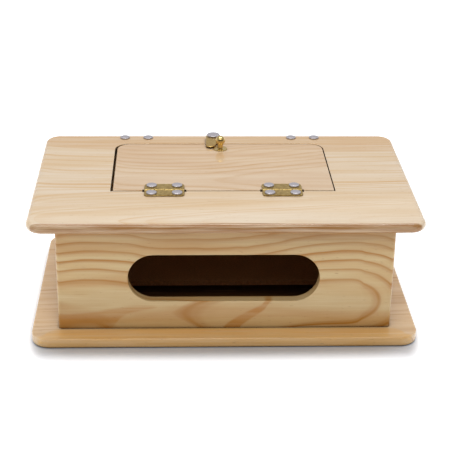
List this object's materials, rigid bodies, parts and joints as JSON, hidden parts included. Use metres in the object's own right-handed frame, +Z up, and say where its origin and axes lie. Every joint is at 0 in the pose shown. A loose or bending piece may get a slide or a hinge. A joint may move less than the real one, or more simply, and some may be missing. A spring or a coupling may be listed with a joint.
{
  "type": "donation box",
  "caption": "Low wooden box on a wide base board, with a wide front slot, a hinged lid and a knobbed flap in the lid held by a turn button.",
  "frame": {"origin": "centre of the base board's underside, on the surface that the box stands on", "axes": "+Z up, front panel with the slot facing -Y, +X to the right seen from the front"},
  "size_m": [0.24, 0.1526, 0.0925],
  "materials": {
    "pine": "clear satin lacquer on pine",
    "hardboard": "bare brown hardboard",
    "brass": "polished brass",
    "hinge_brass": "satin brass plate",
    "steel": "zinc plated"
  },
  "bodies": {
    "carcase": {"base_board": "pine", "front_panel": "pine", "back_panel": "pine", "left_side_panel": "pine", "right_side_panel": "pine", "shelf_board": "hardboard", "left_shelf_cleat": "pine", "right_shelf_cleat": "pine", "base_screw_1": "steel", "base_screw_2": "steel", "base_screw_3": "steel", "base_screw_4": "steel", "base_screw_5": "steel", "base_screw_6": "steel", "lid_hinge_left_wall_leaf": "hinge_brass", "lid_hinge_left_pin": "steel", "lid_hinge_right_wall_leaf": "hinge_brass", "lid_hinge_right_pin": "steel", "wall_leaf_screw_1": "steel", "wall_leaf_screw_2": "steel", "wall_leaf_screw_3": "steel", "wall_leaf_screw_4": "steel"},
    "lid": {"lid_board": "pine", "lid_hinge_left_lid_leaf": "hinge_brass", "lid_hinge_right_lid_leaf": "hinge_brass", "lid_screw_1": "steel", "lid_screw_2": "steel", "lid_screw_3": "steel", "lid_screw_4": "steel", "flap_hinge_left_lid_leaf": "hinge_brass", "flap_hinge_left_pin": "steel", "flap_hinge_right_lid_leaf": "hinge_brass", "flap_hinge_right_pin": "steel", "lid_leaf_screw_1": "steel", "lid_leaf_screw_2": "steel", "lid_leaf_screw_3": "steel", "lid_leaf_screw_4": "steel", "turn_button_washer": "brass", "turn_button_screw": "steel"},
    "flap": {"flap_board": "pine", "flap_hinge_left_flap_leaf": "hinge_brass", "flap_hinge_right_flap_leaf": "hinge_brass", "flap_leaf_screw_1": "steel", "flap_leaf_screw_2": "steel", "flap_leaf_screw_3": "steel", "flap_leaf_screw_4": "steel", "flap_knob": "brass", "knob_screw": "steel"},
    "turn_button": {"turn_button": "brass"}
  },
  "joints": [
    {"name": "lid_hinge", "type": "hinge", "parent": "carcase", "child": "lid", "pos_m": [0, 0.06385, 0.07515], "axis": [-1, 0, 0], "range_deg": [0, 90]},
    {"name": "flap_hinge", "type": "hinge", "parent": "lid", "child": "flap", "pos_m": [0, -0.02405, 0.083], "axis": [1, 0, 0], "range_deg": [0, 95]},
    {"name": "turn_button_pivot", "type": "hinge", "parent": "lid", "child": "turn_button", "pos_m": [-0.0046, 0.066, 0.0849], "axis": [0, 0, -1], "range_deg": [0, 180]}
  ]
}
